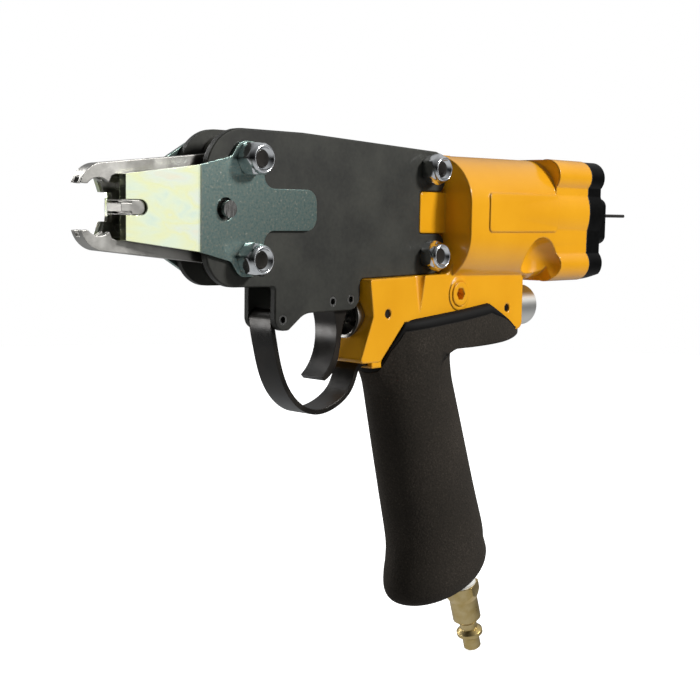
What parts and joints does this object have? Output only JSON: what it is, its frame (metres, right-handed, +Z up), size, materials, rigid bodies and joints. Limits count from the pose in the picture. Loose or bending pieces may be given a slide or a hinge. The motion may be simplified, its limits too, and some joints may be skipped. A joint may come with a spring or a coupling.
{
  "type": "pneumatic hog ring tool",
  "caption": "Air powered pistol-grip plier: a piston drives a wedge between rollers, closing hooked jaws that crimp a wire hog ring.",
  "frame": {"origin": "centre of the hand grip", "axes": "+X from the jaws towards the rear cap, +Y to the right of the tool, +Z up"},
  "size_m": [0.3357, 0.0472, 0.2279],
  "materials": {
    "yellow_paint": "gloss enamel",
    "black_plate": "satin black",
    "yellow_zinc": "yellow passivated zinc",
    "bare_steel": "blasted steel",
    "hard_steel": "ground steel",
    "spring_steel": "oiled wire",
    "bright_zinc": "bright zinc",
    "black_oxide": "black oxide",
    "black_cap": "gloss black",
    "aluminium": "turned",
    "bronze": "sintered bronze",
    "plug_brass": "yellow passivated",
    "seal_rubber": "matt",
    "foam_rubber": "matt foam",
    "ptfe_tape": "matt white"
  },
  "bodies": {
    "frame": {"body_casting": "yellow_paint", "socket_plug": "yellow_paint", "left_side_plate": "black_plate", "right_side_plate": "black_plate", "left_nose_plate": "yellow_zinc", "right_nose_plate": "yellow_zinc", "nose_pin": "yellow_zinc", "ring_anvil": "bare_steel", "ring_guide": "bare_steel", "guide_rivets": "bare_steel", "pivot_sleeves": "hard_steel", "valve_sleeve": "hard_steel", "return_spring": "spring_steel", "jaw_spring": "spring_steel", "valve_spring": "spring_steel", "pivot_nuts": "bright_zinc", "rear_nuts": "bright_zinc", "cap_screws": "bright_zinc", "pivot_bolts": "black_oxide", "rear_bolts": "black_oxide", "guard_pin": "black_oxide", "stop_pin": "black_oxide", "trigger_pin": "black_oxide", "valve_pins": "black_oxide", "trigger_guard": "black_oxide", "rear_cap": "black_cap", "valve_plug": "aluminium", "rod_bush": "bronze", "air_plug": "plug_brass", "rod_seal": "seal_rubber", "bumper": "seal_rubber", "cap_gasket": "seal_rubber", "tail_rod_seal": "seal_rubber", "plug_seal": "seal_rubber", "grip_sleeve": "foam_rubber", "thread_tape": "ptfe_tape"},
    "piston": {"piston": "aluminium", "piston_seal": "seal_rubber", "piston_rod": "hard_steel", "piston_nut": "hard_steel", "wedge_driver": "hard_steel", "driver_pin": "hard_steel", "tail_rod": "hard_steel"},
    "upper_jaw": {"upper_jaw": "bare_steel", "upper_roller_pin": "hard_steel"},
    "lower_jaw": {"lower_jaw": "bare_steel", "lower_roller_pin": "hard_steel"},
    "upper_roller": {"upper_roller": "hard_steel"},
    "lower_roller": {"lower_roller": "hard_steel"},
    "trigger": {"trigger": "black_oxide"},
    "valve_spool": {"valve_spool": "hard_steel", "spool_seals": "seal_rubber"}
  },
  "joints": [
    {"name": "piston_slide", "type": "slide", "parent": "frame", "child": "piston", "axis": [-1, 0, 0], "range_m": [0, 0.027], "stiffness_N_per_m": 600, "springref_m": -0.012, "deforming": ["return_spring", "jaw_spring"]},
    {"name": "upper_jaw_hinge", "type": "hinge", "parent": "frame", "child": "upper_jaw", "pos_m": [-0.109, 0, 0.11764], "axis": [0, -1, 0], "range_deg": [0, 5.75], "deforming": ["jaw_spring"]},
    {"name": "lower_jaw_hinge", "type": "hinge", "parent": "frame", "child": "lower_jaw", "pos_m": [-0.109, 0, 0.08236], "axis": [0, 1, 0], "range_deg": [0, 5.75], "deforming": ["jaw_spring"]},
    {"name": "upper_roller_spin", "type": "hinge", "parent": "upper_jaw", "child": "upper_roller", "pos_m": [-0.073, 0, 0.111], "axis": [0, 1, 0], "continuous": true},
    {"name": "lower_roller_spin", "type": "hinge", "parent": "lower_jaw", "child": "lower_roller", "pos_m": [-0.073, 0, 0.089], "axis": [0, 1, 0], "continuous": true},
    {"name": "trigger_pull", "type": "hinge", "parent": "frame", "child": "trigger", "pos_m": [-0.054, 0, 0.066], "axis": [0, -1, 0], "range_deg": [0, 10], "stiffness_Nm_per_rad": 0.15, "springref_deg": -17.19},
    {"name": "valve_slide", "type": "slide", "parent": "frame", "child": "valve_spool", "axis": [1, 0, 0], "range_m": [0, 0.0014], "deforming": ["valve_spring"]}
  ],
  "couplings": [
    {"joint": "upper_jaw_hinge", "follows": "piston_slide", "rad_per_m": 3.7037},
    {"joint": "lower_jaw_hinge", "follows": "piston_slide", "rad_per_m": 3.7037},
    {"joint": "valve_slide", "follows": "trigger_pull", "m_per_rad": 0.0075}
  ]
}
